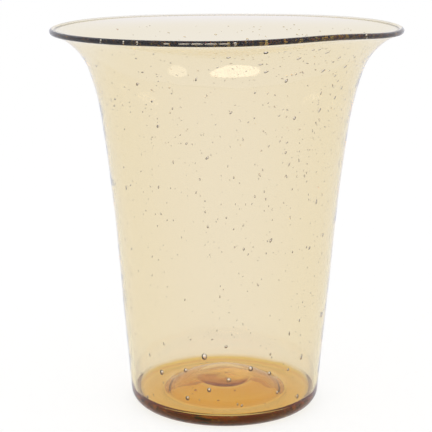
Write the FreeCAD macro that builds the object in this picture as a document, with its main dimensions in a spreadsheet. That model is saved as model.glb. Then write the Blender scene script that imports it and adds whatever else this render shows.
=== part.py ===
"""Flared bubble glass vase, 210 mm tall, blown in two gathers of amber glass.

The glassmaker's own steps give the pieces. The first gather is the inner wall and floor, and the air
trapped in it shows as seeds: closed bubbles all the way up the wall and across the floor. The second
gather cases it and makes the heel, the base and the ground foot ring. Both layers run together in the
fire-polished lip, and the wad that the punty iron left stays in the hollow underside.

Every piece is a half section, drawn with X as the radius and Y as the height, and revolved. All sections
hang from one middle line of the wall: a straight lean, then three arcs that open out to the lip.
"""
import FreeCAD, Part
import math
import os
from collections import namedtuple

import Sketcher

Vector = FreeCAD.Vector

# Driving sizes, in millimetres unless they are shares: alias, value, what it measures
SIZES = [
    ("overall_height", 210.0, "table to the top of the lip"),
    ("rim_diameter", 190.6, "across the outside of the lip"),
    ("foot_radius", 51.2, "middle line of the wall where it would meet the table"),
    ("wall_lean_share", 0.0822, "run outwards of the straight wall, as a share of its height"),
    ("straight_height", 90.0, "table to the top of the straight wall"),
    ("body_bend_radius", 1175.0, "long slow bend above the straight wall"),
    ("flare_depth", 50.0, "top of the lip down to the end of the long bend, where the flare starts"),
    ("flare_bend_radius", 149.5, "bend that starts the flare"),
    ("lip_turn_depth", 22.0, "top of the lip down to where the flare turns into the lip"),
    ("gather_wall", 1.4, "wall of the first gather"),
    ("casing_wall", 1.0, "wall of the second gather"),
    ("lip_bead_reach", 0.9, "end of both walls to the middle of the round bead along the lip"),
    ("floor_height", 7.2, "table to the level part of the floor inside"),
    ("floor_rise", 10.0, "height that the punty iron pushed the middle of the floor up by"),
    ("dome_radius", 59.5, "round of the dome that it pushed up"),
    ("dome_edge_radius", 20.0, "round between the dome and the level part of the floor"),
    ("gather_floor", 3.4, "floor of the first gather"),
    ("casing_floor", 4.4, "floor of the second gather at its middle"),
    ("cavity_corner_radius", 3.0, "round between the floor and the wall inside"),
    ("heel_radius", 8.0, "round between the wall and the table"),
    ("foot_ring_radius", 33.0, "inner edge of the ground ring that it stands on"),
    ("punty_radius", 12.5, "wad left by the punty iron"),
    ("punty_thickness", 1.2, "edge of the punty wad"),
    ("punty_dimple", 0.5, "depth that the wad is ground and polished hollow"),
    ("lowest_seed_height", 14.0, "table to the lowest seed in the wall"),
    ("lip_seed_margin", 5.0, "length of wall below the lip that has no seeds"),
]

# Seeds: closed bubbles of air halfway through the first gather, as shares of its thickness there
WALL_SEED_COUNT = 48
FLOOR_SEED_COUNT = 12
SEED_WIDTH_SHARE = 0.72
SEED_SIZE_SHARES = (1.0, 0.6, 0.82, 0.5, 0.72)
FLOOR_SEED_REACH_SHARE = 0.92
GOLDEN_TURN = math.radians(137.508)

# Bends of the wall's middle line below the lip: radius, and depth below the top of the lip where it ends
BENDS = (("body_bend_radius", "flare_depth"), ("flare_bend_radius", "lip_turn_depth"))

# Rounds in which the end of the wall and its lean there come to agree
SETTLING_ROUNDS = 12

HALF_WALL_FORMULA = "(Sizes.gather_wall + Sizes.casing_wall) / 2"
BEAD_FORMULA = f"hypot(Sizes.lip_bead_reach; {HALF_WALL_FORMULA})"
KICK_FORMULA = "Sizes.floor_height + Sizes.floor_rise - Sizes.gather_floor - Sizes.casing_floor"

START, END, CENTRE = range(1, 4)
HORIZONTAL_AXIS, VERTICAL_AXIS = -1, -2

Bend = namedtuple("Bend", "centre radius low high")
Wall = namedtuple("Wall", "foot lean straight_top bends end bead")
Dome = namedtuple("Dome", "centre radius edge_centre edge_radius turn")
Skin = namedtuple("Skin", "line arcs lows highs")

doc = FreeCAD.newDocument("bubble_glass_vase")


def make_sizes():
    """Fills the sheet that every section and feature is bound to."""
    sheet = doc.addObject("Spreadsheet::Sheet", "Sizes")
    for row, (alias, value, meaning) in enumerate(SIZES, start=1):
        sheet.set(f"A{row}", alias)
        sheet.set(f"B{row}", str(value))
        sheet.set(f"C{row}", meaning)
        sheet.setAlias(f"B{row}", alias)
    doc.recompute()
    return sheet


sheet = make_sizes()


def size(alias):
    """A driving size as it stands in the sheet."""
    return float(sheet.get(alias))


def outward(angle):
    """Unit direction across the wall, away from the cavity, where the wall leans by angle."""
    return Vector(math.cos(angle), -math.sin(angle), 0)


def upward(angle):
    """Unit direction along the wall, towards the lip, where the wall leans by angle."""
    return Vector(math.sin(angle), math.cos(angle), 0)


def wall_thickness():
    return size("gather_wall") + size("casing_wall")


def bead_radius():
    """Radius of the lip's round bead, which meets both skins of the wall at its neck."""
    return math.hypot(size("lip_bead_reach"), wall_thickness() / 2)


def plan_wall():
    """Works out the middle line of the wall from the sheet: a straight lean and three tangent arcs."""
    lean = math.atan(size("wall_lean_share"))
    foot = Vector(size("foot_radius"), 0, 0)
    rise = size("straight_height")
    straight_top = foot + Vector(rise * math.tan(lean), rise, 0)
    point = straight_top
    angle = lean
    bends = []
    for radius, depth in BENDS:
        centre = point + outward(angle) * size(radius)
        turned = math.asin((size("overall_height") - size(depth) - centre.y) / size(radius))
        bends.append(Bend(centre, size(radius), angle, turned))
        point = centre - outward(turned) * size(radius)
        angle = turned
    bead = Vector(size("rim_diameter") / 2 - bead_radius(), size("overall_height") - bead_radius(), 0)
    half_turn = (math.pi / 2 - angle) / 2
    for _ in range(SETTLING_ROUNDS):
        end = bead - upward(angle + half_turn * 2) * size("lip_bead_reach")
        chord = end - point
        half_turn = math.atan2(chord.x, chord.y) - angle
    lip_radius = chord.Length / 2 / math.sin(half_turn)
    bends.append(Bend(point + outward(angle) * lip_radius, lip_radius, angle, angle + half_turn * 2))
    return Wall(foot, lean, straight_top, bends, end, bead)


wall = plan_wall()


def corner_arc(skin_offset, floor, radius):
    """Centre of the round between a level floor and the straight skin at skin_offset from the middle line."""
    skin_foot = wall.foot.x * math.cos(wall.lean) + skin_offset
    height = floor + radius
    return Vector((skin_foot - radius + height * math.sin(wall.lean)) / math.cos(wall.lean), height, 0)


def new_body(name):
    body = doc.addObject("PartDesign::Body", name)
    body.Label = name
    return body


class Section:
    """The half section of one body, on its own XZ plane."""

    def __init__(self, body):
        self.body = body
        self.sketch = body.newObject("Sketcher::SketchObject", body.Name + "_section")
        plane = next(item for item in body.Origin.OriginFeatures if item.Role == "XZ_Plane")
        self.sketch.AttachmentSupport = [(plane, "")]
        self.sketch.MapMode = "FlatFace"

    def line(self, start, end, construction=False):
        return self.sketch.addGeometry(Part.LineSegment(start, end), construction)

    def arc(self, centre, radius, first, last, construction=False):
        circle = Part.Circle(centre, Vector(0, 0, 1), radius)
        return self.sketch.addGeometry(Part.ArcOfCircle(circle, first, last), construction)

    def rule(self, *words):
        self.sketch.addConstraint(Sketcher.Constraint(*words))

    def join(self, first, first_end, second, second_end, kind="Tangent"):
        self.rule(kind, first, first_end, second, second_end)

    def measure(self, formula, *words):
        """Adds a constraint whose value follows a formula of the sheet's sizes."""
        index = self.sketch.addConstraint(Sketcher.Constraint(*words))
        self.sketch.setExpression(f"Constraints[{index}]", formula)

    def place(self, geometry, end, across=None, up=None):
        """Holds a point at formulas for its radius and its height, each a pair of formula and value."""
        if across:
            self.measure(across[0], "DistanceX", HORIZONTAL_AXIS, START, geometry, end, across[1])
        if up:
            self.measure(up[0], "DistanceY", HORIZONTAL_AXIS, START, geometry, end, up[1])

    def revolve(self):
        """Turns the closed section a full turn about the vase's axis."""
        feature = self.body.newObject("PartDesign::Revolution", self.body.Name + "_turned")
        feature.Profile = self.sketch
        feature.ReferenceAxis = (self.sketch, ["V_Axis"])
        feature.Angle = 360
        self.sketch.Visibility = False
        return feature


def draw_skin(section, offset, construction=False):
    """Draws the straight wall and its three arcs at an offset across the wall, outwards positive."""
    shift = outward(wall.lean) * offset
    line = section.line(wall.foot + shift, wall.straight_top + shift, construction)
    arcs, lows, highs = [], [], []
    for bend in wall.bends:
        radius = bend.radius - offset
        if radius > 0:
            first, last, low, high = math.pi - bend.high, math.pi - bend.low, END, START
        else:
            first, last, low, high = -bend.low, -bend.high, START, END
        arcs.append(section.arc(bend.centre, abs(radius), first, last, construction))
        lows.append(low)
        highs.append(high)
    section.join(line, END, arcs[0], lows[0])
    for below in range(len(arcs) - 1):
        section.join(arcs[below], highs[below], arcs[below + 1], lows[below + 1])
    return Skin(line, arcs, lows, highs)


def draw_middle(section):
    """Draws the wall's middle line as construction, held by the driving sizes."""
    middle = draw_skin(section, 0, construction=True)
    section.rule("PointOnObject", middle.line, START, HORIZONTAL_AXIS)
    section.place(middle.line, START, across=("Sizes.foot_radius", size("foot_radius")))
    section.place(
        middle.line, END,
        across=("Sizes.foot_radius + Sizes.straight_height * Sizes.wall_lean_share", wall.straight_top.x),
        up=("Sizes.straight_height", wall.straight_top.y))
    for arc, high, (radius, depth) in zip(middle.arcs, middle.highs, BENDS):
        section.measure(f"Sizes.{radius}", "Radius", arc, size(radius))
        height = size("overall_height") - size(depth)
        section.place(arc, high, up=(f"Sizes.overall_height - Sizes.{depth}", height))
    neck = section.line(wall.end, wall.bead, construction=True)
    section.join(middle.arcs[-1], middle.highs[-1], neck, START)
    section.measure("Sizes.lip_bead_reach", "Distance", neck, size("lip_bead_reach"))
    section.place(
        neck, END,
        across=(f"Sizes.rim_diameter / 2 - {BEAD_FORMULA}", wall.bead.x),
        up=(f"Sizes.overall_height - {BEAD_FORMULA}", wall.bead.y))
    return middle, neck


def draw_offset_skin(section, middle, offset, beside, gap, gap_formula):
    """Draws a skin parallel to the middle line, at a gap from the skin named beside."""
    skin = draw_skin(section, offset)
    section.rule("Parallel", skin.line, middle.line)
    section.measure(gap_formula, "Distance", skin.line, END, beside.line, gap)
    for arc, middle_arc in zip(skin.arcs, middle.arcs):
        section.join(arc, CENTRE, middle_arc, CENTRE, "Coincident")
    return skin


def close_at_lip(section, middle, first, first_offset, second, second_offset):
    """Joins two skins at the lip by an end face square to the wall."""
    across = outward(wall.bends[-1].high)
    face = section.line(wall.end + across * first_offset, wall.end + across * second_offset)
    section.join(first.arcs[-1], first.highs[-1], face, START, "Coincident")
    section.join(second.arcs[-1], second.highs[-1], face, END, "Coincident")
    section.rule("PointOnObject", middle.arcs[-1], CENTRE, face)
    section.rule("PointOnObject", middle.arcs[-1], middle.highs[-1], face)


def draw_foot_ring(section, outside, offset):
    """Draws the heel and the level ring that it stands on, in to the hollow underside."""
    radius = size("heel_radius")
    edge = size("foot_ring_radius")
    centre = corner_arc(offset, 0, radius)
    heel = section.arc(centre, radius, -math.pi / 2, -wall.lean)
    ring = section.line(Vector(centre.x, 0, 0), Vector(edge, 0, 0))
    section.join(heel, END, outside.line, START)
    section.join(heel, START, ring, START)
    section.rule("Horizontal", ring)
    section.measure("Sizes.heel_radius", "Radius", heel, radius)
    section.rule("PointOnObject", ring, END, HORIZONTAL_AXIS)
    section.place(ring, END, across=("Sizes.foot_ring_radius", edge))
    return ring


def plan_dome(depth):
    """The dome of a surface that lies at a depth under the floor, with the round that leads into it."""
    floor = size("floor_height") - depth
    radius = size("dome_radius") - depth
    edge_radius = size("dome_edge_radius") + depth
    centre = Vector(0, floor + size("floor_rise") - radius, 0)
    edge_height = floor + edge_radius
    apart = radius + edge_radius
    edge_centre = Vector(math.sqrt(apart ** 2 - (edge_height - centre.y) ** 2), edge_height, 0)
    turn = math.asin(edge_centre.x / apart)
    return Dome(centre, radius, edge_centre, edge_radius, turn)


def draw_domed_floor(section, skin, offset, depth, depth_formula, radius, radius_formula):
    """Draws a floor in from a skin's foot: a round, a level ring, and a dome with its crown on the axis."""
    floor = size("floor_height") - depth
    centre = corner_arc(offset, floor, radius)
    plan = plan_dome(depth)
    corner = section.arc(centre, radius, -math.pi / 2, -wall.lean)
    level = section.line(Vector(centre.x, floor, 0), Vector(plan.edge_centre.x, floor, 0))
    edge = section.arc(plan.edge_centre, plan.edge_radius, -math.pi / 2 - plan.turn, -math.pi / 2)
    dome = section.arc(plan.centre, plan.radius, math.pi / 2 - plan.turn, math.pi / 2)
    section.join(corner, END, skin.line, START)
    section.join(corner, START, level, START)
    section.join(level, END, edge, END)
    section.join(edge, START, dome, START)
    section.rule("Horizontal", level)
    section.measure(radius_formula, "Radius", corner, radius)
    section.measure(f"Sizes.dome_edge_radius + {depth_formula}", "Radius", edge, plan.edge_radius)
    section.measure(f"Sizes.dome_radius - {depth_formula}", "Radius", dome, plan.radius)
    floor_formula = f"Sizes.floor_height - {depth_formula}"
    section.place(corner, CENTRE, up=(f"{floor_formula} + {radius_formula}", centre.y))
    section.rule("PointOnObject", dome, CENTRE, VERTICAL_AXIS)
    section.place(dome, END, up=(f"{floor_formula} + Sizes.floor_rise", floor + size("floor_rise")))
    return dome


def close_on_axis(section, upper, lower, top, bottom):
    """Runs the section along the vase's axis between two edges that end there."""
    axis = section.line(Vector(0, bottom, 0), Vector(0, top, 0))
    section.join(axis, END, upper, END, "Coincident")
    section.join(axis, START, lower, END, "Coincident")
    section.rule("PointOnObject", upper, END, VERTICAL_AXIS)
    section.rule("PointOnObject", lower, END, VERTICAL_AXIS)


def seam_crown():
    return size("floor_height") - size("gather_floor") + size("floor_rise")


def seam_corner_radius():
    return size("cavity_corner_radius") + size("gather_wall")


def kick_height():
    """Height of the hollow underside at its middle, where the punty wad sits."""
    return seam_crown() - size("casing_floor")


def seam_offset():
    """Where the two gathers meet, measured outwards from the wall's middle line."""
    return (size("gather_wall") - size("casing_wall")) / 2


def draw_seam_foot(section, seam):
    """Draws the corner and floor of the surface where the two gathers meet."""
    return draw_domed_floor(
        section, seam, seam_offset(), size("gather_floor"), "Sizes.gather_floor",
        seam_corner_radius(), "Sizes.cavity_corner_radius + Sizes.gather_wall")


def make_outer_casing():
    """The second gather: outer wall, round heel, thick base, ground foot ring and hollow underside."""
    body = new_body("outer_casing")
    section = Section(body)
    half_wall = wall_thickness() / 2
    middle = draw_middle(section)[0]
    outside = draw_offset_skin(section, middle, half_wall, middle, half_wall, HALF_WALL_FORMULA)
    seam = draw_offset_skin(
        section, middle, seam_offset(), outside, size("casing_wall"), "Sizes.casing_wall")
    close_at_lip(section, middle, outside, half_wall, seam, seam_offset())
    foot_ring = draw_foot_ring(section, outside, half_wall)
    kick = kick_height()
    seat_edge = size("punty_radius")
    seat = section.line(Vector(seat_edge, kick, 0), Vector(0, kick, 0))
    section.rule("Horizontal", seat)
    section.place(seat, START, across=("Sizes.punty_radius", seat_edge), up=(KICK_FORMULA, kick))
    ring_edge = size("foot_ring_radius")
    centre = Vector(0, (kick ** 2 + seat_edge ** 2 - ring_edge ** 2) / kick / 2, 0)
    hollow = section.arc(
        centre, math.hypot(ring_edge, centre.y),
        math.atan2(-centre.y, ring_edge), math.atan2(kick - centre.y, seat_edge))
    section.join(hollow, END, seat, START, "Coincident")
    section.join(hollow, START, foot_ring, END, "Coincident")
    section.rule("PointOnObject", hollow, CENTRE, VERTICAL_AXIS)
    close_on_axis(section, draw_seam_foot(section, seam), seat, seam_crown(), kick)
    section.revolve()
    return body


def make_gather_blank():
    """The first gather before its seeds: inner wall, inner floor and the round between them."""
    body = new_body("gather_blank")
    section = Section(body)
    half_wall = wall_thickness() / 2
    middle = draw_middle(section)[0]
    inside = draw_offset_skin(section, middle, -half_wall, middle, half_wall, HALF_WALL_FORMULA)
    seam = draw_offset_skin(
        section, middle, seam_offset(), inside, size("gather_wall"), "Sizes.gather_wall")
    close_at_lip(section, middle, inside, -half_wall, seam, seam_offset())
    floor = draw_domed_floor(
        section, inside, -half_wall, 0, "0", size("cavity_corner_radius"), "Sizes.cavity_corner_radius")
    crown = size("floor_height") + size("floor_rise")
    close_on_axis(section, floor, draw_seam_foot(section, seam), crown, seam_crown())
    section.revolve()
    return body


def gather_middle():
    """Middle of the first gather's wall, measured outwards from the middle line of the whole wall."""
    return (size("gather_wall") - wall_thickness()) / 2


def wall_seed_place(travel):
    """A point halfway through the first gather, at a length of wall above the lowest seed."""
    start_height = size("lowest_seed_height")
    straight = (wall.straight_top.y - start_height) / math.cos(wall.lean)
    if travel <= straight:
        height = start_height + travel * math.cos(wall.lean)
        middle = Vector(wall.foot.x + height * math.tan(wall.lean), height, 0)
        return middle + outward(wall.lean) * gather_middle()
    travel -= straight
    for bend in wall.bends:
        length = bend.radius * (bend.high - bend.low)
        if travel <= length or bend is wall.bends[-1]:
            angle = bend.low + travel / bend.radius
            return bend.centre - outward(angle) * (bend.radius - gather_middle())
        travel -= length


def seed_places():
    """Places of the seeds: a golden-angle spiral up the wall and another across the floor."""
    straight = (wall.straight_top.y - size("lowest_seed_height")) / math.cos(wall.lean)
    bends = sum(bend.radius * (bend.high - bend.low) for bend in wall.bends)
    seeded = straight + bends - size("lip_seed_margin")
    for index in range(WALL_SEED_COUNT):
        point = wall_seed_place(seeded * (index + 0.5) / WALL_SEED_COUNT)
        yield "gather_wall", point, (index + 0.5) * GOLDEN_TURN
    middle = size("floor_height") - size("gather_floor") / 2
    reach = FLOOR_SEED_REACH_SHARE * corner_arc(gather_middle(), middle, seam_corner_radius()).x
    dome = plan_dome(size("gather_floor") / 2)
    for index in range(FLOOR_SEED_COUNT):
        radius = reach * math.sqrt((index + 0.5) / FLOOR_SEED_COUNT)
        if radius < dome.radius * math.sin(dome.turn):
            height = dome.centre.y + math.sqrt(dome.radius ** 2 - radius ** 2)
        elif radius < dome.edge_centre.x:
            beside = dome.edge_centre.x - radius
            height = dome.edge_centre.y - math.sqrt(dome.edge_radius ** 2 - beside ** 2)
        else:
            height = middle
        yield "gather_floor", Vector(radius, height, 0), (index + 0.5) * GOLDEN_TURN


def make_inner_gather(blank):
    """Leaves the seeds as closed bubbles in the glass of the first gather."""
    bubbles = []
    for number, (layer, point, angle) in enumerate(seed_places()):
        bubble = doc.addObject("Part::Sphere", f"seed_{number:03d}")
        share = SEED_WIDTH_SHARE * SEED_SIZE_SHARES[number % len(SEED_SIZE_SHARES)]
        bubble.setExpression("Radius", f"Sizes.{layer} * {share:.4f} / 2")
        bubble.Placement.Base = Vector(point.x * math.cos(angle), point.x * math.sin(angle), point.y)
        bubbles.append(bubble)
    seeds = doc.addObject("Part::Compound", "seeds")
    seeds.Links = bubbles
    gather = doc.addObject("Part::Cut", "inner_gather")
    gather.Label = "inner_gather"
    gather.Base = blank
    gather.Tool = seeds
    return gather


def make_lip_bead():
    """The fire-polished lip: a round bead, a little thicker than the wall that ends in it."""
    body = new_body("lip_bead")
    section = Section(body)
    middle, neck = draw_middle(section)
    across = outward(wall.bends[-1].high) * wall_thickness() / 2
    first = wall.end + across - wall.bead
    start = math.atan2(first.y, first.x)
    turn = math.tau - 2 * math.atan2(wall_thickness() / 2, size("lip_bead_reach"))
    bead = section.arc(wall.bead, bead_radius(), start, start + turn)
    face = section.line(wall.end + across, wall.end - across)
    section.join(bead, CENTRE, neck, END, "Coincident")
    section.join(bead, START, face, START, "Coincident")
    section.join(bead, END, face, END, "Coincident")
    section.measure(BEAD_FORMULA, "Radius", bead, bead_radius())
    section.rule("PointOnObject", middle.arcs[-1], middle.highs[-1], face)
    section.rule("PointOnObject", middle.arcs[-1], CENTRE, face)
    section.revolve()
    return body


def make_punty_wad():
    """The wad of the punty iron in the hollow underside, its face ground and polished to a dimple."""
    body = new_body("punty_wad")
    section = Section(body)
    edge = size("punty_radius")
    top = kick_height()
    rim = top - size("punty_thickness")
    dimple = size("punty_dimple")
    dimple_radius = (edge ** 2 + dimple ** 2) / dimple / 2
    seat = section.line(Vector(edge, top, 0), Vector(0, top, 0))
    side = section.line(Vector(edge, rim, 0), Vector(edge, top, 0))
    half_turn = math.asin(edge / dimple_radius)
    hollow = section.arc(
        Vector(0, rim + dimple - dimple_radius, 0), dimple_radius, math.pi / 2 - half_turn, math.pi / 2)
    axis = section.line(Vector(0, rim + dimple, 0), Vector(0, top, 0))
    section.rule("Horizontal", seat)
    section.rule("Vertical", side)
    section.join(side, END, seat, START, "Coincident")
    section.join(hollow, START, side, START, "Coincident")
    section.join(axis, START, hollow, END, "Coincident")
    section.join(axis, END, seat, END, "Coincident")
    section.rule("PointOnObject", seat, END, VERTICAL_AXIS)
    section.rule("PointOnObject", hollow, END, VERTICAL_AXIS)
    section.rule("PointOnObject", hollow, CENTRE, VERTICAL_AXIS)
    section.place(seat, START, across=("Sizes.punty_radius", edge), up=(KICK_FORMULA, top))
    section.measure("Sizes.punty_thickness", "DistanceY", side, START, side, END, size("punty_thickness"))
    section.measure("Sizes.punty_dimple", "DistanceY", side, START, hollow, END, dimple)
    section.revolve()
    return body


def check_document():
    """Stops if any feature failed, because a recompute alone can leave one broken without a word."""
    doc.recompute()
    broken = [item.Name for item in doc.Objects if "Invalid" in item.State or "Error" in item.State]
    if broken:
        raise RuntimeError("failed features: " + ", ".join(broken))


def write_parts(pieces):
    """Writes each piece to parts/, named by its label, once its solid is sound."""
    for piece in pieces:
        if piece.Shape.isNull() or not piece.Shape.isValid():
            raise RuntimeError("no sound solid: " + piece.Label)
    os.makedirs("parts", exist_ok=True)
    for piece in pieces:
        shape = piece.Shape
        shape.exportStep(os.path.join("parts", piece.Label + ".step"))
        box = shape.optimalBoundingBox()
        print(f"{piece.Label}: {len(shape.Solids)} solid, {shape.Volume:.0f} mm3, "
              f"radius {box.XMax:.2f}, height {box.ZMin:.2f} to {box.ZMax:.2f}")


pieces = [make_outer_casing(), make_inner_gather(make_gather_blank()), make_lip_bead(), make_punty_wad()]
check_document()
write_parts(pieces)
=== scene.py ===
"""Bubble glass vase: the amber glass with its air bubbles, and the pale studio that it stands in.

The wall follows one middle line: a straight lean from the foot, two bends that open out, and a last bend
that runs out into the lip. The skins lie half the wall's thickness to each side of that line. The whole
vase is one closed skin of glass, and each bubble is a small closed skin inside it that faces the air.
"""
import math
import random

import bmesh
import bpy
from bpy.props import FloatProperty, FloatVectorProperty, IntProperty, PointerProperty
from mathutils import Euler, Matrix, Vector


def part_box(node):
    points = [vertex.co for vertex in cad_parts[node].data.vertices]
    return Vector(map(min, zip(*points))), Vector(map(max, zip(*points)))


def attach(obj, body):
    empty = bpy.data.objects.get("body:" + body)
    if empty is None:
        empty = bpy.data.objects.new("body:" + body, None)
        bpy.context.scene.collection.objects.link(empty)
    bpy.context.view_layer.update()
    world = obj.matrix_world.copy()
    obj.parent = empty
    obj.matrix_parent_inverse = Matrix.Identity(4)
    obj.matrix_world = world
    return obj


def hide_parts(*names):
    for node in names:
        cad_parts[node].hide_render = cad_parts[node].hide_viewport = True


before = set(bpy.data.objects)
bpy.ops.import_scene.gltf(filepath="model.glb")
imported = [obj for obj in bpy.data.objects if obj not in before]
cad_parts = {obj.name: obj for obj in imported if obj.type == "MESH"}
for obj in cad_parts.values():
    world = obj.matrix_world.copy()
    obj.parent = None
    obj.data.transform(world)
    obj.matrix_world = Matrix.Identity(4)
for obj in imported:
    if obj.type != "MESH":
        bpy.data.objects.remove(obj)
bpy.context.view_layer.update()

bl_info = {
    "name": "Bubble glass vase",
    "version": (1, 0, 0),
    "blender": (4, 5, 0),
    "location": "3D View > Sidebar > Vase",
    "description": "Makes a hand-blown amber vase with bubbles in the glass, and its studio",
    "category": "Object",
}

MM = 0.001
GLASS = "vase_glass"
LIP_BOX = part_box("lip_bead")
WAD_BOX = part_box("punty_wad")

# Steps of each line and round of the half outline, in the order in which it is drawn, and of its turn
# round the axis
STEPS = {
    "dimple": 10, "wad slope": 4, "hollow": 24, "ring edge": 10, "foot ring": 6, "heel": 16,
    "outer wall": 30, "bead": 20, "inner wall": 28, "corner": 10, "floor": 6, "dome edge": 8, "dome": 24,
    "turn": 160,
}

# About how far apart the points are along each of the three bends above the straight wall, and how many
# steps a bend has at least
BEND_GAPS = (3 * MM, 1.3 * MM, 0.9 * MM)
FEWEST_BEND_STEPS = 2

# Points of the turned shape that are nearer to each other than this become one
MERGE_DISTANCE = 0.01 * MM

# Rounds in which the end of the wall and its lean there come to agree
SETTLING_ROUNDS = 12

# The lip runs out thin at the back of the vase: how much each skin loses, the sine of the turn where
# this starts, and how far inside the rim it starts and is full
REAR_THINNING = 0.8 * MM
REAR_SINE = 0.05
REAR_THINNING_START = 14 * MM
REAR_THINNING_FULL = 2 * MM

# Facets of a small bubble and of a listed one: round it and along it
SMALL_FACETS = (7, 5)
FINE_FACETS = (16, 10)

# Places for bubbles in the wall: the lowest, the gap from one to the next, how far below the top of the
# wall the random ones stay, and the glass that is left over a bubble
LOWEST_PLACE = 12 * MM
PLACE_GAP = 1 * MM
LIP_CLEARANCE = 4 * MM
WALL_COVER = 0.22 * MM

# Random bubbles in the wall: how much rarer they are on the left and low down; their half length in
# millimetres, as the mean and the spread of its logarithm, its scale at the table, what that gains up
# to the lip, and its greatest value; and their width as a share of their length
RARER_ON_THE_LEFT = 0.3
RARER_LOW_DOWN = 0.6
LENGTH_LOGARITHM = (-0.8, 0.4)
LENGTH_SCALE = 0.75
LENGTH_GAIN = 0.45
GREATEST_LENGTH = 1.6
WIDTH_SHARES = (0.3, 0.7)

# Their slant: above a height in millimetres, its mean and its spread in degrees from straight up
SLANTS = ((190, 74, 12), (150, 44, 20), (0, 10, 14))

# Random bubbles in the base: how far out they lie, their half width in millimetres, their length as a
# multiple of it, and the glass that is left under and over them
BASE_REACH = 47 * MM
BASE_SIZES = (0.3, 0.7)
BASE_STRETCH = 1.3
GLASS_UNDER = 0.6 * MM
GLASS_OVER = 0.5 * MM

# Larger bubbles in the wall: degrees round the vase, height, half length and half width in millimetres,
# and the slant of their length from straight up
WALL_BUBBLES = (
    (-63.4, 198.1, 1.3, 0.5, 66), (-52.3, 200.7, 1.3, 0.45, 62), (-44.0, 197.6, 1.1, 0.4, 55),
    (-36.9, 192.7, 1.3, 0.5, 48), (-49.6, 190.8, 1.4, 0.5, 50), (42.5, 182.4, 1.1, 0.4, 55),
    (-77.6, 196.5, 1.2, 0.5, 82), (-77.0, 203.5, 1.2, 1.1, 80),
    (-41.5, 187.8, 0.8, 0.4, 40), (-34.3, 181.0, 1.0, 0.45, 18), (-24.2, 178.1, 0.9, 0.4, 30),
    (-37.6, 177.0, 0.9, 0.45, 42), (-46.4, 170.5, 1.3, 0.5, 28), (-59.7, 167.8, 1.0, 0.6, 36),
    (-123.1, 192.2, 0.8, 0.4, 80), (-120.5, 164.8, 0.9, 0.6, 40), (-146.3, 129.4, 1.2, 0.5, 8),
    (-40.4, 123.0, 1.5, 0.55, 4), (-45.4, 58.4, 1.0, 0.45, 6), (-40.8, 36.0, 1.7, 0.65, 8),
    (-51.0, 31.4, 0.9, 0.6, 20), (-52.2, 52.4, 1.2, 0.45, -6), (-137.6, 37.1, 1.0, 0.4, -12),
    (-125.9, 46.1, 0.9, 0.4, -10), (-89.3, 48.2, 0.9, 0.7, 60), (-108.9, 51.0, 0.6, 0.35, 40),
    (-96.8, 52.0, 0.6, 0.35, 80), (-63.9, 42.4, 0.7, 0.5, 10), (-101.3, 42.1, 1.9, 1.5, 0),
    (-128.7, 29.4, 1.5, 1.2, 5), (-112.5, 32.9, 1.2, 1.1, 5), (-75.3, 35.2, 1.6, 1.2, -5),
    (-63.8, 31.5, 1.2, 1.0, 0), (-87.6, 29.4, 1.4, 1.3, 10), (-98.8, 22.8, 1.3, 1.1, 0),
    (-111.9, 17.4, 1.3, 1.1, 0), (-57.8, 19.5, 1.0, 0.8, 20), (-41.3, 12.8, 1.3, 1.0, 10),
    (-79.9, 14.1, 0.8, 0.6, 20),
)

# Bubbles in the lip's bead: degrees round the vase, half length and half width in millimetres
BEAD_BUBBLES = (
    (-87.4, 0.9, 0.5), (-130.5, 0.7, 0.5), (-121.7, 0.7, 0.5), (-116.9, 0.7, 0.5), (-42.8, 0.8, 0.6),
    (-102.3, 2.9, 0.2), (-98.4, 3.1, 0.24), (-94.4, 3.2, 0.24), (-90.6, 2.7, 0.2), (-107.5, 1.6, 0.2),
)

# Bubbles just under the skin of the heel: degrees round the vase, radius, height and half size in
# millimetres
HEEL_BUBBLES = (
    (-127.4, 52.3, 8.1, 0.7), (-93.2, 51.5, 5.0, 0.7), (-84.9, 51.5, 5.0, 0.6), (-85.6, 52.2, 7.4, 0.5),
    (-68.5, 51.1, 4.2, 0.7), (-53.5, 52.2, 7.9, 0.7), (-143.0, 52.2, 11.1, 0.8), (-150.5, 52.0, 9.2, 0.6),
    (-37.0, 52.2, 9.6, 0.6),
)

# Waves of the hand work round the vase: height in millimetres, how many go round, start in radians, and
# twist in radians for each millimetre up
LIP_WAVES = ((-0.9, 1, 0, 0), (0.6, 1, math.pi / 2, 0), (0.25, 3, 0, 0))
BODY_WAVES = ((0.16, 2, 0.6, 0.021), (0.09, 3, 0, -0.055), (0.05, 1, 0, 0.19))
WAD_WAVES = ((0.5, 2, 0.4, 0), (0.35, 3, 2, 0))

# The lip's rise in millimetres: all round, at the back, and in one crest with its place and its width
# round the vase in radians
LIP_RISE = 0.9
LIP_REAR_RISE = 1.4
LIP_CREST = (1.9, -0.96, 0.38)

# The punty wad's unevenness, in millimetres: how far out and how far up it reaches, the radius at which
# its waves have their height, and its shift to the left
WAD_REACH = 24
WAD_RISE = 16
WAD_WAVE_RADIUS = 12.5
WAD_SHIFT = 1.3

# The body's unevenness: the height in millimetres where it starts and the height that it takes to be
# full, and the least radius that it moves
BODY_START = 14
BODY_RUN = 40
LEAST_RADIUS = 10

# Where a share of the skin runs from 0 to 1: the radius or the height with 0 and that with 1, in
# millimetres
LIFT_HEIGHTS = (110, 210)
WAD_RADII = (17, 14)
WAD_HEIGHTS = (12, 11)
RING_HEIGHTS = (1.2, 0.2)
BASE_RADII = (51.5, 48.5)
BASE_HEIGHTS = (12, 8)
CROWN_RADII = (24, 14)
CROWN_HEIGHTS = (12, 13)
HEEL_RADII = (42, 46)
HEEL_HEIGHTS = (10, 6)
WAVY_FROM = (14, 26)
WAVY_UP_TO = (206, 192)

# The dome in the base's painted shade: its height and its radius in millimetres
SHADE_DOME = (10, 30)
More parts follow.
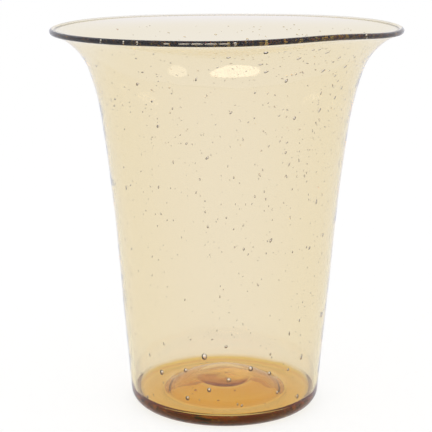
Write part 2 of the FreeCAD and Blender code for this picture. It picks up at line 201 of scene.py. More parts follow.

# How much of the base's painted shade the ground wad and the crown of the floor lose
GROUND_LOSS = 0.8
CROWN_LOSS = 0.5

# Above this height and inside this radius, in millimetres, lies the inside of the vase and not its heel
INSIDE_FROM = 5
INSIDE_RADIUS = 51.3

# What the skin adds to the colour of the light through it, everywhere; and painted shade at the base and the
# heel
SKIN_TINT = (1, 0.972, 1, 1)
# Painted shade on the base: a deep amber for the table under the vase, which lies in the vase's own amber
# shade
BASE_PAINTED_SHADE = (0.86, 0.5, 0.04, 1)
# Painted shade on the heel: a dull brown that darkens the round heel's outer face
HEEL_PAINTED_SHADE = (0.5, 0.62, 0.24, 1)

# How matt the ground parts are, and the extra shine of the wall, which pales the edges of the vase
GROUND_ROUGHNESS = 0.03
COAT_WEIGHT = 0.5

# Waves in the skin of the wall: how many to the metre each way, and their height
SKIN_WAVES = (35, 35, 90)
SKIN_WAVE_HEIGHT = 0.18 * MM

# The studio's white, and that white as glass shows it
WHITE = (1, 1, 1, 1)
WHITE_IN_GLASS = (0.9, 0.905, 0.965, 1)

# The floor: radius in metres, sides, how far it lies under the vase, and the share of shadow it keeps
FLOOR_RADIUS = 8
FLOOR_SIDES = 64
FLOOR_DROP = 0.2 * MM
KEPT_SHADOW = 0.25

# How often light may be bent or mirrored, to get through the glass and its bubbles
BENT_BOUNCES = 48
MIRRORED_BOUNCES = 16

# What the lamps face, at the back of the flare
LAMP_TARGET = Vector((0, 65 * MM, 178 * MM))

# Lamps: degrees up and degrees to the right as seen from their target, distance, width and height in
# metres, and brightness against white paper
LAMPS = (
    ("large_lamp", 26.8, -9.3, 1.2, 0.95, 0.2, 2.2),
    ("small_lamp", 25.4, 48, 1.2, 0.38, 0.17, 1.08),
)

# Width of the camera's sensor, in millimetres
SENSOR_WIDTH = 36


class VaseSettings(bpy.types.PropertyGroup):
    """Sizes and colour of the glass."""

    height: FloatProperty(
        name="Height", description="Table to the top of the lip",
        default=LIP_BOX[1][2], unit="LENGTH")
    rim_radius: FloatProperty(
        name="Rim radius", description="Axis to the outside of the lip",
        default=LIP_BOX[1][0], unit="LENGTH")
    foot_radius: FloatProperty(
        name="Foot radius", description="Axis to the middle of the wall where it would meet the table",
        default=51.2 * MM, unit="LENGTH")
    wall: FloatProperty(
        name="Wall", description="Thickness of the wall", default=2.4 * MM, unit="LENGTH")
    bead_reach: FloatProperty(
        name="Bead reach", description="End of the wall to the middle of the round bead along the lip",
        default=0.9 * MM, unit="LENGTH")
    lean_share: FloatProperty(
        name="Lean", description="Run outwards of the straight wall, as a share of its height",
        default=0.0822)
    straight_height: FloatProperty(
        name="Straight height", description="Table to the top of the straight wall",
        default=90 * MM, unit="LENGTH")
    body_bend_radius: FloatProperty(
        name="Body bend", description="Radius of the long slow bend above the straight wall",
        default=1175 * MM, unit="LENGTH")
    flare_depth: FloatProperty(
        name="Flare depth", description="Top of the lip down to where the flare starts",
        default=50 * MM, unit="LENGTH")
    flare_bend_radius: FloatProperty(
        name="Flare bend", description="Radius of the bend that starts the flare",
        default=149.5 * MM, unit="LENGTH")
    lip_turn_depth: FloatProperty(
        name="Lip turn depth", description="Top of the lip down to where the flare turns into the lip",
        default=22 * MM, unit="LENGTH")
    floor_height: FloatProperty(
        name="Floor height", description="Table to the lowest part of the floor inside",
        default=7.2 * MM, unit="LENGTH")
    floor_rise: FloatProperty(
        name="Floor rise", description="Height of the dome in the floor",
        default=10 * MM, unit="LENGTH")
    dome_radius: FloatProperty(
        name="Dome radius", description="Round of the dome in the floor",
        default=59.5 * MM, unit="LENGTH")
    dome_edge: FloatProperty(
        name="Dome edge", description="Round between the floor and its dome",
        default=20 * MM, unit="LENGTH")
    corner_radius: FloatProperty(
        name="Inner corner", description="Round between the floor and the wall inside",
        default=3 * MM, unit="LENGTH")
    heel_radius: FloatProperty(
        name="Heel", description="Round between the wall and the table",
        default=8 * MM, unit="LENGTH")
    foot_ring_radius: FloatProperty(
        name="Foot ring", description="Axis to the inner edge of the ring that the vase stands on",
        default=33 * MM, unit="LENGTH")
    foot_ring_edge: FloatProperty(
        name="Foot ring edge", description="Round on the inner edge of the foot ring",
        default=2.5 * MM, unit="LENGTH")
    kick_height: FloatProperty(
        name="Kick height", description="Table to the top of the hollow underside",
        default=9.4 * MM, unit="LENGTH")
    wad_radius: FloatProperty(
        name="Punty wad", description="Radius of the wad that the punty iron left",
        default=WAD_BOX[1][0], unit="LENGTH")
    wad_depth: FloatProperty(
        name="Wad depth", description="How far the wad stands down from the hollow underside",
        default=0.4 * MM, unit="LENGTH")
    wad_slope: FloatProperty(
        name="Wad slope", description="Width of the slope between the wad and the hollow underside",
        default=4 * MM, unit="LENGTH")
    wad_dimple: FloatProperty(
        name="Wad dimple", description="Depth of the hollow ground in the wad",
        default=0.3 * MM, unit="LENGTH")
    glass_ior: FloatProperty(
        name="Glass IOR", description="Refractive index of the glass", default=1.5)
    glass_colour: FloatVectorProperty(
        name="Glass colour", description="The less of a colour, the more of it the glass takes up",
        default=(0.88, 0.74, 0.02), subtype="COLOR", size=3)
    glass_density: FloatProperty(
        name="Glass density", description="How strongly the glass takes up light, per metre",
        default=128)


class BubbleSettings(bpy.types.PropertyGroup):
    """The air bubbles in the glass."""

    wall_count: IntProperty(
        name="Wall bubbles", description="Number of small bubbles in the wall", default=1050)
    floor_count: IntProperty(
        name="Floor bubbles", description="Number of small bubbles in the floor", default=40)
    seed: IntProperty(
        name="Seed", description="Changes where the bubbles lie", default=7)


class StudioSettings(bpy.types.PropertyGroup):
    """The light, the floor and the camera."""

    world_strength: FloatProperty(
        name="Studio light", description="Strength of the even light all round", default=1.0)
    lens: FloatProperty(
        name="Lens", description="Focal length on a 36 mm sensor, in millimetres", default=113.13)
    camera_place: FloatVectorProperty(
        name="Camera", description="Where the camera stands",
        default=(0, -736.26 * MM, 275 * MM), subtype="TRANSLATION", size=3)
    camera_turn: FloatVectorProperty(
        name="Camera turn", description="Which way the camera looks",
        default=tuple(math.radians(angle) for angle in (77.062, -0.183, 0.448)),
        subtype="EULER", size=3)


def link(mesh_name, bm):
    """Puts a bmesh into the scene as an object at the origin, and frees it."""
    mesh = bpy.data.meshes.new(mesh_name)
    bm.to_mesh(mesh)
    bm.free()
    piece = bpy.data.objects.new(mesh_name, mesh)
    bpy.context.scene.collection.objects.link(piece)
    return piece


class Outline:
    """The half outline of a turned shape, drawn point by point with X as the radius and Z as the height."""

    def __init__(self, radius, height):
        self.bm = bmesh.new()
        self.tip = self.bm.verts.new((radius, 0, height))

    def line_to(self, radius, height, steps):
        """Goes straight to a point in equal steps."""
        start = self.tip.co.copy()
        step = (Vector((radius, 0, height)) - start) / steps
        for _ in range(steps):
            made = bmesh.ops.extrude_vert_indiv(self.bm, verts=[self.tip])
            self.tip = made["verts"][0]
            self.tip.co += step

    def arc(self, centre, turn, steps):
        """Goes round centre by an angle, anticlockwise positive with the axis on the left."""
        made = bmesh.ops.spin(
            self.bm, geom=[self.tip], cent=(centre[0], 0, centre[1]), axis=(0, -1, 0),
            angle=turn, steps=steps, use_duplicate=False)
        self.tip = next(item for item in made["geom_last"] if isinstance(item, bmesh.types.BMVert))


class Wall:
    """The middle line of the wall, and the skins to each side of it."""

    def __init__(self, vase):
        self.lean = math.atan(vase.lean_share)
        self.half = vase.wall / 2
        self.foot = Vector((vase.foot_radius, 0))
        self.top = self.foot + Vector((vase.straight_height * vase.lean_share, vase.straight_height))
        self.bends = []
        point, angle = self.top, self.lean
        for radius, depth in (
                (vase.body_bend_radius, vase.flare_depth), (vase.flare_bend_radius, vase.lip_turn_depth)):
            centre = point + self.outward(angle) * radius
            turned = math.asin((vase.height - depth - centre.y) / radius)
            self.bends.append((centre, radius, angle, turned))
            point = centre - self.outward(turned) * radius
            angle = turned
        bead_radius = math.hypot(vase.bead_reach, self.half)
        self.bead = Vector((vase.rim_radius - bead_radius, vase.height - bead_radius))
        self.bead_turn = math.tau - 2 * math.atan2(self.half, vase.bead_reach)
        half_turn = (math.pi / 2 - angle) / 2
        for _ in range(SETTLING_ROUNDS):
            lean = angle + half_turn * 2
            chord = self.bead - self.upward(lean) * vase.bead_reach - point
            half_turn = math.atan2(chord.x, chord.y) - angle
        radius = chord.length / 2 / math.sin(half_turn)
        self.bends.append((point + self.outward(angle) * radius, radius, angle, angle + half_turn * 2))

    @staticmethod
    def outward(angle):
        return Vector((math.cos(angle), -math.sin(angle)))

    @staticmethod
    def upward(angle):
        return Vector((math.sin(angle), math.cos(angle)))

    def stations(self, low, gap):
        """Points of the middle line from a height up, about a gap apart: radius, height and lean."""
        steps = round((self.top.y - low) / gap)
        for step in range(steps):
            height = low + (self.top.y - low) * step / steps
            yield self.foot.x + height * math.tan(self.lean), height, self.lean
        for centre, radius, first, last in self.bends:
            steps = round((last - first) * radius / gap)
            for step in range(steps):
                angle = first + (last - first) * step / steps
                point = centre - self.outward(angle) * radius
                yield point.x, point.y, angle

    def corner(self, offset, floor, radius):
        """Centre of the round between a floor and the straight skin at an offset from the middle line."""
        skin_foot = self.foot.x * math.cos(self.lean) + offset
        height = floor + radius
        return Vector(((skin_foot - radius + height * math.sin(self.lean)) / math.cos(self.lean), height))


def hollow_centre(vase):
    """Height of the middle of the round through the foot ring's inner edge and the rim of the wad."""
    kick = vase.kick_height
    return (kick ** 2 + vase.wad_radius ** 2 - vase.foot_ring_radius ** 2) / kick / 2


def draw_underside(outline, vase):
    """The wad with its dimple, the hollow round it, and the foot ring with its rounded inner edge."""
    wad_low = vase.kick_height - vase.wad_depth
    dimple_end = vase.wad_radius - vase.wad_slope / 2
    dimple_radius = (dimple_end ** 2 + vase.wad_dimple ** 2) / vase.wad_dimple / 2
    turn = math.asin(dimple_end / dimple_radius)
    outline.arc((0, wad_low + vase.wad_dimple - dimple_radius), -turn, STEPS["dimple"])
    centre_height = hollow_centre(vase)
    hollow_radius = math.hypot(vase.foot_ring_radius, centre_height)
    round_radius = vase.foot_ring_edge
    round_x = math.sqrt((hollow_radius + round_radius) ** 2 - (round_radius - centre_height) ** 2)
    turn = math.atan2(round_x, round_radius - centre_height)
    seat = vase.wad_radius + vase.wad_slope / 2
    seat_height = centre_height + math.sqrt(hollow_radius ** 2 - seat ** 2)
    outline.line_to(seat, seat_height, STEPS["wad slope"])
    outline.arc((0, centre_height), math.asin(seat / hollow_radius) - turn, STEPS["hollow"])
    outline.arc((round_x, round_radius), turn, STEPS["ring edge"])


def draw_bends(outline, wall, upwards):
    """The skin's three bends above the straight wall, up to the lip or down from it."""
    sections = list(zip(wall.bends, BEND_GAPS))
    if not upwards:
        sections.reverse()
    for (centre, radius, first, last), gap in sections:
        turn = first - last if upwards else last - first
        steps = max(FEWEST_BEND_STEPS, round(abs(turn) * radius / gap))
        outline.arc(centre, turn, steps)


def draw_vase(vase, wall):
    """The whole half outline, from the middle of the wad out, over the lip and in to the floor's crown."""
    outline = Outline(0, vase.kick_height - vase.wad_depth + vase.wad_dimple)
    draw_underside(outline, vase)
    heel = wall.corner(wall.half, 0, vase.heel_radius)
    outline.line_to(heel.x, 0, STEPS["foot ring"])
    outline.arc(heel, math.pi / 2 - wall.lean, STEPS["heel"])
    shoulder = wall.top + wall.outward(wall.lean) * wall.half
    outline.line_to(shoulder.x, shoulder.y, STEPS["outer wall"])
    draw_bends(outline, wall, True)
    outline.arc(wall.bead, wall.bead_turn, STEPS["bead"])
    draw_bends(outline, wall, False)
    corner = wall.corner(-wall.half, vase.floor_height, vase.corner_radius)
    start = corner + wall.outward(wall.lean) * vase.corner_radius
    outline.line_to(start.x, start.y, STEPS["inner wall"])
    outline.arc(corner, wall.lean - math.pi / 2, STEPS["corner"])
    dome_height = vase.floor_height + vase.floor_rise - vase.dome_radius
    edge = vase.dome_edge
    edge_height = vase.floor_height + edge
    edge_x = math.sqrt((vase.dome_radius + edge) ** 2 - (edge_height - dome_height) ** 2)
    turn = math.atan2(edge_x, edge_height - dome_height)
    outline.line_to(edge_x, vase.floor_height, STEPS["floor"])
    outline.arc((edge_x, edge_height), -turn, STEPS["dome edge"])
    outline.arc((0, dome_height), turn, STEPS["dome"])
    return outline


def clamp(share):
    """Keeps a share between 0 and 1."""
    return min(1, max(0, share))


def smooth(share):
    """Runs from 0 to 1 with a soft start and end."""
    share = clamp(share)
    return share * share * (3 - 2 * share)


def ramp(value, nought, one):
    """Runs softly from 0 where the value is nought's to 1 where it is one's."""
    return smooth((value - nought) / (one - nought))


def rear_thinning(place, vase):
    """How much of each skin is missing at a point, where the lip runs out thin at the back of the vase."""
    if place.y <= 0:
        return 0
    radius = place.xy.length
    inside = ramp(radius, vase.rim_radius - REAR_THINNING_START, vase.rim_radius - REAR_THINNING_FULL)
    return REAR_THINNING * smooth(place.y / radius - REAR_SINE) * inside


class VASE_OT_glass(bpy.types.Operator):
    """Blow the vase: one closed skin of amber glass"""

    bl_idname = "vase.glass"
    bl_label = "Glass"

    def execute(self, context):
        vase = context.scene.vase_glass
        bm = draw_vase(vase, Wall(vase)).bm
        bmesh.ops.spin(
            bm, geom=bm.verts[:] + bm.edges[:], cent=(0, 0, 0), axis=(0, 0, 1), angle=math.tau,
            steps=STEPS["turn"], use_merge=True, use_duplicate=False)
        bmesh.ops.remove_doubles(bm, verts=bm.verts, dist=MERGE_DISTANCE)
        bmesh.ops.recalc_face_normals(bm, faces=bm.faces)
        bm.normal_update()
        for vertex in bm.verts:
            vertex.co -= vertex.normal * rear_thinning(vertex.co, vase)
        glass = link(GLASS, bm)
        glass.data.materials.append(amber_glass(vase))
        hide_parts("inner_gather", "outer_casing", "lip_bead", "punty_wad")
        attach(glass, "root")
        return {"FINISHED"}


class Bubbles:
    """Closed bubbles for the glass, kept clear of each other."""

    def __init__(self):
        self.bm = bmesh.new()
        self.taken = []
        self.ball = self.make_ball(*SMALL_FACETS)
        self.fine_ball = self.make_ball(*FINE_FACETS)

    @staticmethod
    def make_ball(segments, rings):
        bm = bmesh.new()
        bmesh.ops.create_uvsphere(bm, u_segments=segments, v_segments=rings, radius=1)
        ball = bpy.data.meshes.new("ball")
        bm.to_mesh(ball)
        bm.free()
        return ball

    def add(self, place, axes, reach, fine=False):
        """Adds a bubble with a half length along each of three axes, unless it would touch another."""
        span = max(reach)
        if any((place - other).length < span + other_span for other, other_span in self.taken):
            return False
        self.taken.append((place, span))
        turned = Matrix([axis * half for axis, half in zip(axes, reach)]).transposed().to_4x4()
        turned.translation = place
        bubble = (self.fine_ball if fine else self.ball).copy()
        bubble.transform(turned)
        self.bm.from_mesh(bubble)
        bpy.data.meshes.remove(bubble)
        return True

    def face_the_air(self):
        """Turns every face to the air in its bubble, which is the outside of the glass."""
        bmesh.ops.recalc_face_normals(self.bm, faces=self.bm.faces)
        bmesh.ops.reverse_faces(self.bm, faces=self.bm.faces)


def wall_axes(turn, lean, slant):
    """Three directions at a place in the wall: along a bubble's length, across it, and through the wall."""
    radial = Vector((math.cos(turn), math.sin(turn), 0))
    round_way = Vector((-math.sin(turn), math.cos(turn), 0))
    up = radial * math.sin(lean) + Vector((0, 0, math.cos(lean)))
    through = radial * math.cos(lean) - Vector((0, 0, math.sin(lean)))
    along = up * math.cos(slant) + round_way * math.sin(slant)
    return along, round_way * math.cos(slant) - up * math.sin(slant), through


def wall_slant(height, dice):
    """Slant of a bubble: drawn out upwards in the body and twisted round the vase towards the lip."""
    for lowest, mean, spread in SLANTS:
        if height > lowest * MM:
            return math.radians(dice.gauss(mean, spread))


def base_skins(radius, vase):
    """Heights of the underside and of the floor at a radius. The wad and the rounds are left out."""
    low, high = 0, vase.floor_height
    ring = vase.foot_ring_radius
    if radius < ring:
        centre = hollow_centre(vase)
        low = centre + math.sqrt(ring ** 2 + centre ** 2 - radius ** 2)
    if radius < vase.dome_radius:
        crown = vase.floor_height + vase.floor_rise - vase.dome_radius
        high = max(high, crown + math.sqrt(vase.dome_radius ** 2 - radius ** 2))
    return low, high


def place_round(turn, radius, height):
    """The point at a turn round the axis, a radius and a height."""
    return Vector((radius * math.cos(turn), radius * math.sin(turn), height))


class VASE_OT_bubbles(bpy.types.Operator):
    """Leave air bubbles in the wall, the lip and the base"""

    bl_idname = "vase.bubbles"
    bl_label = "Bubbles"

    def execute(self, context):
        vase, settings = context.scene.vase_glass, context.scene.vase_bubbles
        wall = Wall(vase)
        dice = random.Random(settings.seed)
        bubbles = Bubbles()
        stations = list(wall.stations(LOWEST_PLACE, PLACE_GAP))
        room = wall.half - WALL_COVER
        for degrees, height, length, width, slant in WALL_BUBBLES:
            turn = math.radians(degrees)
            radius, level, lean = min(stations, key=lambda station: abs(station[1] - height * MM))
            bubbles.add(
                place_round(turn, radius, level), wall_axes(turn, lean, math.radians(slant)),
                (length * MM, width * MM, min(width * MM, room)), fine=True)
        for degrees, length, width in BEAD_BUBBLES:
            turn = math.radians(degrees)
            bubbles.add(
                place_round(turn, wall.bead.x, wall.bead.y), wall_axes(turn, math.pi / 2, math.pi / 2),
                (length * MM, width * MM, width * MM), fine=True)
        for degrees, radius, height, size in HEEL_BUBBLES:
            turn = math.radians(degrees)
            bubbles.add(
                place_round(turn, radius * MM, height * MM), wall_axes(turn, 0, 0), [size * MM] * 3,
                fine=True)
        self.scatter_wall(settings, vase, stations, room, dice, bubbles)
        self.scatter_base(settings, vase, dice, bubbles)
        bubbles.face_the_air()
        mesh = bpy.data.meshes.new("bubbles")
        bubbles.bm.to_mesh(mesh)
        bubbles.bm.free()
        glass = bpy.data.objects[GLASS].data
        bm = bmesh.new()
        bm.from_mesh(glass)
        bm.from_mesh(mesh)
        bm.to_mesh(glass)
        bm.free()
        bpy.data.meshes.remove(mesh)
        return {"FINISHED"}

    @staticmethod
    def scatter_wall(settings, vase, stations, room, dice, bubbles):
        """Small bubbles all over the wall, more of them on the right and up in the flare."""
        widest = max(radius for radius, height, lean in stations)
        top = stations[-1][1]
        made = 0
        while made < settings.wall_count:
            radius, height, lean = dice.choice(stations)
            turn = dice.uniform(-math.pi, math.pi)
            if height > top - LIP_CLEARANCE:
                continue
            up = height / top
            to_the_right = 1 - RARER_ON_THE_LEFT + RARER_ON_THE_LEFT * math.cos(turn)
            if dice.random() > radius / widest * to_the_right * (1 - RARER_LOW_DOWN + RARER_LOW_DOWN * up):
                continue
            length = dice.lognormvariate(*LENGTH_LOGARITHM) * (LENGTH_SCALE + LENGTH_GAIN * up)
            length = min(GREATEST_LENGTH, length) * MM
            width = length * dice.uniform(*WIDTH_SHARES)
            place = place_round(turn, radius, height)
            free = room - rear_thinning(place, vase)
            thick = min(width, free)
            axes = wall_axes(turn, lean, wall_slant(height, dice))
            place += axes[2] * dice.uniform(-1, 1) * (free - thick)
            made += bubbles.add(place, axes, (length, width, thick))

    @staticmethod
    def scatter_base(settings, vase, dice, bubbles):
        """Round bubbles in the thick base, over the hollow underside and under the floor."""
        made = 0
        while made < settings.floor_count:
            radius = BASE_REACH * math.sqrt(dice.random())
            turn = dice.uniform(-math.pi, math.pi)
            low, high = base_skins(radius, vase)
            size = dice.uniform(*BASE_SIZES) * MM
            length = BASE_STRETCH * size
            height = dice.uniform(low + length + GLASS_UNDER, high - length - GLASS_OVER)
            axes = wall_axes(turn, 0, dice.uniform(0, math.pi))
            made += bubbles.add(place_round(turn, radius, height), axes, (length, size, size))


def wave_sum(waves, turn, height=0):
    """Adds up waves round the vase, in millimetres, at a turn and a height."""
    return sum(size * math.sin(count * turn + start + twist * height) for size, count, start, twist in waves)


def radius_and_height(place):
    """A point's distance from the axis and its height, in millimetres."""
    return math.hypot(place.x, place.y) / MM, place.z / MM


def uneven(place):
    """Moves a point as the glassmaker's hand did: a lip that rises and dips, a body not quite round."""
    turn = math.atan2(place.y, place.x)
    radius, height = radius_and_height(place)
    crest, crest_turn, crest_width = LIP_CREST
    lift = LIP_RISE + wave_sum(LIP_WAVES, turn) + LIP_REAR_RISE * smooth(math.sin(turn))
    lift += crest * math.exp(-((turn - crest_turn) / crest_width) ** 2)
    lift *= ramp(height, *LIFT_HEIGHTS)
    swell = clamp((height - BODY_START) / BODY_RUN) * wave_sum(BODY_WAVES, turn, height)
    scale = 1 + swell / radius if radius > LEAST_RADIUS else 1
    wad = max(0, 1 - (radius / WAD_REACH) ** 2) * max(0, 1 - height / WAD_RISE)
    lift += wave_sum(WAD_WAVES, turn) * radius / WAD_WAVE_RADIUS * wad
    return Vector((place.x * scale - WAD_SHIFT * MM * wad, place.y * scale, place.z + lift * MM))


def ground_share(place):
    """1 where the underside is ground matt: the punty wad and the foot ring."""
    radius, height = radius_and_height(place)
    return max(ramp(radius, *WAD_RADII) * ramp(height, *WAD_HEIGHTS), ramp(height, *RING_HEIGHTS))


def base_shade_share(place):
    """1 where shade is painted through the thick base, less at the wad and the floor's crown, 0 in the wall.
    """
    radius, height = radius_and_height(place)
    dome_height, dome_radius = SHADE_DOME
    dome = dome_height * max(0, 1 - (radius / dome_radius) ** 2)
    low = ramp(height - dome, *BASE_HEIGHTS) * ramp(radius, *BASE_RADII)
    crown = ramp(radius, *CROWN_RADII) * ramp(height, *CROWN_HEIGHTS)
    return low * (1 - GROUND_LOSS * ground_share(place)) * (1 - CROWN_LOSS * crown)


def heel_shade_share(place):
    """1 on the round heel, where shade is painted, and 0 elsewhere."""
    radius, height = radius_and_height(place)
    if height > INSIDE_FROM and radius < INSIDE_RADIUS:
        return 0
    return ramp(height, *HEEL_HEIGHTS) * ramp(radius, *HEEL_RADII)


def wave_share(place):
    """How wavy the skin is: not in the base, and not in the lip."""
    height = radius_and_height(place)[1]
    return ramp(height, *WAVY_FROM) * ramp(height, *WAVY_UP_TO)


# What the glass's material reads point by point, among it where shade is painted on the base and the heel
SKIN_SHARES = {"base_shade": base_shade_share, "heel": heel_shade_share, "ground": ground_share, "waves": wave_share}


class VASE_OT_hand_work(bpy.types.Operator):
    """Make the vase as uneven as hand-blown glass is"""

    bl_idname = "vase.hand_work"
    bl_label = "Hand work"

    def execute(self, context):
        mesh = bpy.data.objects[GLASS].data
        for name, share in SKIN_SHARES.items():
            layer = mesh.attributes.new(name, "FLOAT", "POINT")
            layer.data.foreach_set("value", [share(vertex.co) for vertex in mesh.vertices])
        for vertex in mesh.vertices:
            vertex.co = uneven(vertex.co)
        mesh.shade_smooth()
        return {"FINISHED"}


def feed(links, socket, value):
    """Links an output to a socket, or gives the socket a plain value."""
    if isinstance(value, bpy.types.NodeSocket):
        links.new(value, socket)
    else:
        socket.default_value = value


def maths(nodes, links, operation, first, second):
    """The output of a maths node on two shares, kept between 0 and 1."""
    node = nodes.new("ShaderNodeMath")
    node.operation = operation
    node.use_clamp = True
    feed(links, node.inputs[0], first)
    feed(links, node.inputs[1], second)
    return node.outputs[0]


def mixed_colour(nodes, links, share, first, second):
    """The output of a mix of two colours, the second by its share."""
    node = nodes.new("ShaderNodeMix")
    node.data_type = "RGBA"
    feed(links, node.inputs["Factor"], share)
    feed(links, node.inputs["A"], first)
    feed(links, node.inputs["B"], second)
    return node.outputs["Result"]


def skin_waves(nodes, links, strength):
    """The output of a bump of soft waves in the skin."""
    stretch = nodes.new("ShaderNodeMapping")
    stretch.inputs["Scale"].default_value = SKIN_WAVES
    waves = nodes.new("ShaderNodeTexNoise")
    waves.inputs["Scale"].default_value = 1
    waves.inputs["Detail"].default_value = 1
    bump = nodes.new("ShaderNodeBump")
    bump.inputs["Distance"].default_value = SKIN_WAVE_HEIGHT
    links.new(nodes.new("ShaderNodeTexCoord").outputs["Object"], stretch.inputs["Vector"])
    links.new(stretch.outputs["Vector"], waves.inputs["Vector"])
    links.new(waves.outputs["Fac"], bump.inputs["Height"])
    links.new(strength, bump.inputs["Strength"])
    return bump.outputs["Normal"]


def amber_glass(vase):
    """Clear glass that takes up blue and green light along the way through it, with shade painted on its
    base and heel.
    """
    material = bpy.data.materials.new("amber_glass")
    material.use_nodes = True
    nodes, links = material.node_tree.nodes, material.node_tree.links
    shares = {}
    for name in SKIN_SHARES:
        attribute = nodes.new("ShaderNodeAttribute")
        attribute.attribute_name = name
        shares[name] = attribute.outputs["Fac"]
    from_inside = nodes.new("ShaderNodeNewGeometry").outputs["Backfacing"]
    # Painted shade on the heel, only where its outer face is seen from outside
    heel = maths(nodes, links, "SUBTRACT", shares["heel"], from_inside)
    # Painted shade: the skin's tint turns to deep amber in the base and to dull brown on the heel
    tint_and_shade = mixed_colour(nodes, links, shares["base_shade"], SKIN_TINT, BASE_PAINTED_SHADE)
    tint_and_shade = mixed_colour(nodes, links, heel, tint_and_shade, HEEL_PAINTED_SHADE)
    shine = maths(nodes, links, "MULTIPLY", shares["waves"], COAT_WEIGHT)
    matt = maths(nodes, links, "MULTIPLY", shares["ground"], GROUND_ROUGHNESS)
    skin = nodes["Principled BSDF"]
    skin.inputs["IOR"].default_value = vase.glass_ior
    skin.inputs["Transmission Weight"].default_value = 1
    skin.inputs["Coat Roughness"].default_value = 0
    links.new(tint_and_shade, skin.inputs["Base Color"])
    links.new(tint_and_shade, skin.inputs["Specular Tint"])
    links.new(shine, skin.inputs["Coat Weight"])
    links.new(matt, skin.inputs["Roughness"])
    links.new(skin_waves(nodes, links, shares["waves"]), skin.inputs["Normal"])
    colour = nodes.new("ShaderNodeVolumeAbsorption")
    colour.inputs["Color"].default_value = (*vase.glass_colour, 1)
    colour.inputs["Density"].default_value = vase.glass_density
    links.new(colour.outputs["Volume"], nodes["Material Output"].inputs["Volume"])
    return material


def studio_white(nodes, links):
    """A white that glass shows a little cooler and dimmer, and whether glass or the camera looks at it."""
    path = nodes.new("ShaderNodeLightPath")
    in_glass = maths(
        nodes, links, "MAXIMUM", path.outputs["Is Glossy Ray"], path.outputs["Is Transmission Ray"])
    white = mixed_colour(nodes, links, in_glass, WHITE, WHITE_IN_GLASS)
    return white, in_glass, path.outputs["Is Camera Ray"]


def studio_light(studio):
    """Even white light from all round."""
    world = bpy.data.worlds.new("studio")
    world.use_nodes = True
    nodes, links = world.node_tree.nodes, world.node_tree.links
    light = nodes["Background"]
    links.new(studio_white(nodes, links)[0], light.inputs["Color"])
    light.inputs["Strength"].default_value = studio.world_strength
    return world


def light_table():
    """Pale paper lit from below: white to the camera and to the glass, with some of its shadows kept."""
    material = bpy.data.materials.new("light_table")
    material.use_nodes = True
    nodes, links = material.node_tree.nodes, material.node_tree.links
    nodes.clear()
    paper = nodes.new("ShaderNodeBsdfDiffuse")
    glow = nodes.new("ShaderNodeEmission")
    mix = nodes.new("ShaderNodeMixShader")
    white, in_glass, to_camera = studio_white(nodes, links)
    shown = maths(nodes, links, "MAXIMUM", to_camera, in_glass)
    links.new(white, paper.inputs["Color"])
    links.new(white, glow.inputs["Color"])
    links.new(maths(nodes, links, "MULTIPLY", shown, 1 - KEPT_SHADOW), mix.inputs["Fac"])
    links.new(paper.outputs[0], mix.inputs[1])
    links.new(glow.outputs[0], mix.inputs[2])
    out = nodes.new("ShaderNodeOutputMaterial")
    links.new(mix.outputs[0], out.inputs["Surface"])
    return material


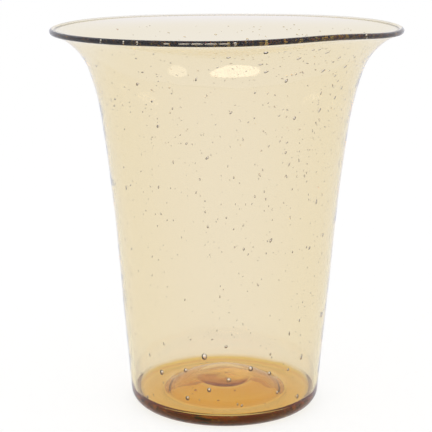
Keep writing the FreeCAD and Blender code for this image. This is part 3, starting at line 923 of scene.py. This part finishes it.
class VASE_OT_stage(bpy.types.Operator):
    """Set up the pale floor, the even light, the lamps and the camera"""

    bl_idname = "vase.stage"
    bl_label = "Studio"

    def execute(self, context):
        scene = context.scene
        studio = scene.vase_studio
        bm = bmesh.new()
        bmesh.ops.create_circle(
            bm, cap_ends=True, radius=FLOOR_RADIUS, segments=FLOOR_SIDES,
            matrix=Matrix.Translation((0, 0, -FLOOR_DROP)))
        floor = link("floor", bm)
        floor.data.materials.append(light_table())
        scene.world = studio_light(studio)
        scene.view_settings.view_transform = "Standard"
        scene.cycles.max_bounces = BENT_BOUNCES
        scene.cycles.transmission_bounces = BENT_BOUNCES
        scene.cycles.glossy_bounces = MIRRORED_BOUNCES
        scene.cycles.blur_glossy = 0
        scene.cycles.sample_clamp_indirect = 0
        for row in LAMPS:
            self.hang_lamp(scene, *row)
        lens = bpy.data.cameras.new("camera")
        lens.lens = studio.lens
        lens.sensor_width = SENSOR_WIDTH
        camera = bpy.data.objects.new("camera", lens)
        camera.location = studio.camera_place
        camera.rotation_euler = Euler(studio.camera_turn)
        scene.collection.objects.link(camera)
        scene.camera = camera
        return {"FINISHED"}

    @staticmethod
    def hang_lamp(scene, name, up, to_the_right, far, across, tall, brightness):
        """Hangs an oval soft lamp that faces the lamps' target."""
        up, to_the_right = math.radians(up), math.radians(to_the_right)
        lamp = bpy.data.lights.new(name, "AREA")
        lamp.shape = "ELLIPSE"
        lamp.size = across
        lamp.size_y = tall
        area = math.pi * across * tall / 4
        lamp.energy = brightness * math.pi * area
        holder = bpy.data.objects.new(name, lamp)
        way = Vector((
            math.cos(up) * math.sin(to_the_right), -math.cos(up) * math.cos(to_the_right), math.sin(up)))
        holder.location = LAMP_TARGET + way * far
        holder.rotation_euler = way.to_track_quat("Z", "Y").to_euler()
        holder.visible_camera = False
        scene.collection.objects.link(holder)


class VASE_PT_panel(bpy.types.Panel):
    """Lists the vase's settings and the buttons that make it"""

    bl_idname = "VASE_PT_panel"
    bl_label = "Bubble glass vase"
    bl_space_type = "VIEW_3D"
    bl_region_type = "UI"
    bl_category = "Vase"

    def draw(self, context):
        for settings, operator in (
                (context.scene.vase_glass, VASE_OT_glass),
                (context.scene.vase_bubbles, VASE_OT_bubbles),
                (context.scene.vase_studio, VASE_OT_stage)):
            box = self.layout.box()
            for name in settings.__annotations__:
                box.prop(settings, name)
            box.operator(operator.bl_idname)
        self.layout.operator(VASE_OT_hand_work.bl_idname)


CLASSES = (
    VaseSettings, BubbleSettings, StudioSettings, VASE_OT_glass, VASE_OT_bubbles, VASE_OT_hand_work,
    VASE_OT_stage, VASE_PT_panel)


def register():
    for item in CLASSES:
        bpy.utils.register_class(item)
    bpy.types.Scene.vase_glass = PointerProperty(type=VaseSettings)
    bpy.types.Scene.vase_bubbles = PointerProperty(type=BubbleSettings)
    bpy.types.Scene.vase_studio = PointerProperty(type=StudioSettings)


def unregister():
    del bpy.types.Scene.vase_studio
    del bpy.types.Scene.vase_bubbles
    del bpy.types.Scene.vase_glass
    for item in reversed(CLASSES):
        bpy.utils.unregister_class(item)


def main():
    register()
    bpy.ops.vase.glass()
    bpy.ops.vase.bubbles()
    bpy.ops.vase.hand_work()
    bpy.ops.vase.stage()


if __name__ == "__main__":
    main()
